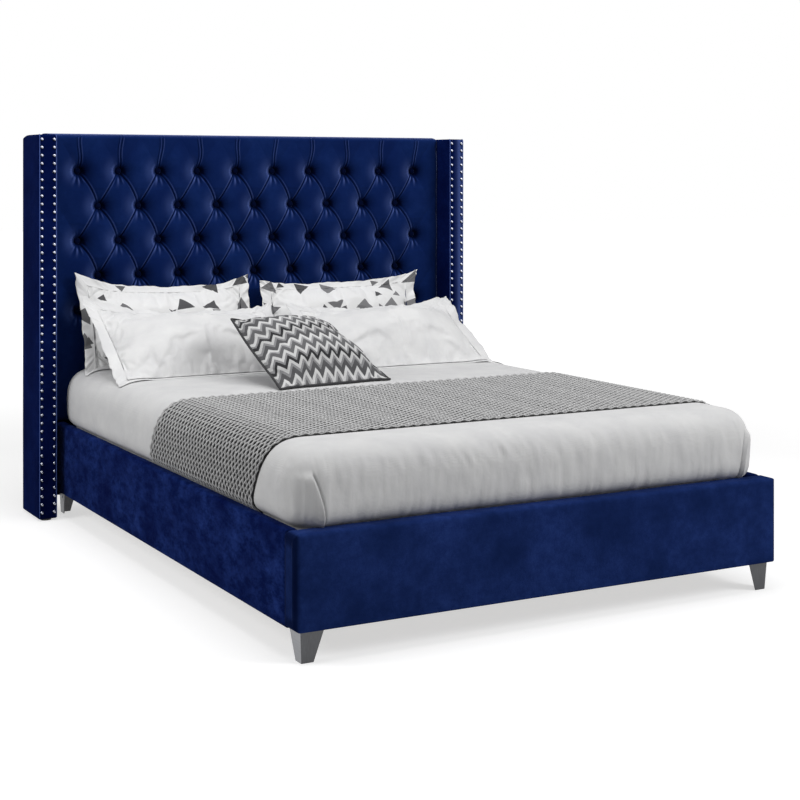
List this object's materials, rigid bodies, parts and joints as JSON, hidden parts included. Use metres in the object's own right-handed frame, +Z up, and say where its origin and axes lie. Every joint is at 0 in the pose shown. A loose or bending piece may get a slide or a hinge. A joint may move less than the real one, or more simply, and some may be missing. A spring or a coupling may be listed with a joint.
{
  "type": "upholstered bed",
  "caption": "Wingback bed with a button-tufted velvet headboard, padded rails and slats, made up with mattress, coverlet, throw and pillows.",
  "frame": {"origin": "on the floor, at the middle of the bed's footprint", "axes": "+Z up, +Y towards the headboard, +X to the right as seen from the foot"},
  "size_m": [1.816, 2.239, 1.428],
  "materials": {
    "blue_velvet": "short-pile velvet, deep blue, with nap marks",
    "pine": "sawn softwood and board, unfinished",
    "black_backing_cloth": "spun backing cloth and webbing",
    "black_nylon": "moulded",
    "zinc_plated_steel": "zinc plated",
    "nickel": "polished nickel plating",
    "leg_steel": "brushed, silver",
    "mattress_ticking": "woven ticking",
    "pale_cotton": "plain woven cotton, pale grey",
    "grey_knit": "chunky knit, mottled grey",
    "printed_cotton": "white cotton with small grey triangles",
    "white_cotton": "plain woven cotton, white",
    "zigzag_weave": "white, grey and charcoal zigzag weave"
  },
  "bodies": {
    "root": {"headboard_posts": "pine", "headboard_cross_rails": "pine", "headboard_backing_board": "pine", "headboard_tufted_pad": "blue_velvet", "tufting_buttons": "blue_velvet", "headboard_top_roll": "blue_velvet", "headboard_lower_cover": "blue_velvet", "headboard_back_cover": "black_backing_cloth", "wing_left_frame": "pine", "wing_right_frame": "pine", "wing_left_cover": "blue_velvet", "wing_right_cover": "blue_velvet", "wing_left_nailheads": "nickel", "wing_right_nailheads": "nickel", "wing_glides": "black_nylon", "wing_bolts": "zinc_plated_steel", "rail_left_board": "pine", "rail_right_board": "pine", "rail_left_cover": "blue_velvet", "rail_right_cover": "blue_velvet", "rail_left_ledger": "pine", "rail_right_ledger": "pine", "footboard_board": "pine", "footboard_cover": "blue_velvet", "corner_brackets": "zinc_plated_steel", "bracket_bolts": "zinc_plated_steel", "leg_front_left": "leg_steel", "leg_front_right": "leg_steel", "leg_rear_left": "leg_steel", "leg_rear_right": "leg_steel", "leg_bolts": "zinc_plated_steel", "centre_beam": "pine", "beam_brackets": "zinc_plated_steel", "centre_leg_foot": "pine", "centre_leg_middle": "pine", "centre_leg_head": "pine", "slats": "pine", "slat_webbing": "black_backing_cloth", "slat_screws": "zinc_plated_steel"},
    "levelling_foot_foot": {"levelling_foot_foot": "black_nylon"},
    "levelling_foot_middle": {"levelling_foot_middle": "black_nylon"},
    "levelling_foot_head": {"levelling_foot_head": "black_nylon"},
    "bedding": {"mattress": "mattress_ticking", "coverlet": "pale_cotton", "throw": "grey_knit"},
    "sham_right": {"sham_right": "printed_cotton"},
    "sham_left": {"sham_left": "printed_cotton"},
    "pillow_right": {"pillow_right": "white_cotton"},
    "pillow_left": {"pillow_left": "white_cotton"},
    "zigzag_cushion": {"zigzag_cushion": "zigzag_weave"}
  },
  "joints": [
    {"name": "bedding_lift", "type": "slide", "parent": "root", "child": "bedding", "axis": [0, 0, 1], "range_m": [0, 1.2]},
    {"name": "sham_right_lift", "type": "slide", "parent": "bedding", "child": "sham_right", "axis": [0, -0.6, 0.8], "range_m": [0, 0.6]},
    {"name": "sham_left_lift", "type": "slide", "parent": "sham_right", "child": "sham_left", "axis": [0, -0.6, 0.8], "range_m": [0, 0.6]},
    {"name": "pillow_right_lift", "type": "slide", "parent": "sham_left", "child": "pillow_right", "axis": [0, -0.6, 0.8], "range_m": [0, 0.6]},
    {"name": "pillow_left_lift", "type": "slide", "parent": "pillow_right", "child": "pillow_left", "axis": [0, -0.6, 0.8], "range_m": [0, 0.6]},
    {"name": "zigzag_cushion_lift", "type": "slide", "parent": "pillow_left", "child": "zigzag_cushion", "axis": [0, -0.6, 0.8], "range_m": [0, 0.6]},
    {"name": "levelling_foot_screw", "type": "slide", "parent": "root", "child": "levelling_foot_foot", "axis": [0, 0, -1], "range_m": [0, 0.012]},
    {"name": "levelling_middle_screw", "type": "slide", "parent": "root", "child": "levelling_foot_middle", "axis": [0, 0, -1], "range_m": [0, 0.012]},
    {"name": "levelling_head_screw", "type": "slide", "parent": "root", "child": "levelling_foot_head", "axis": [0, 0, -1], "range_m": [0, 0.012]}
  ]
}
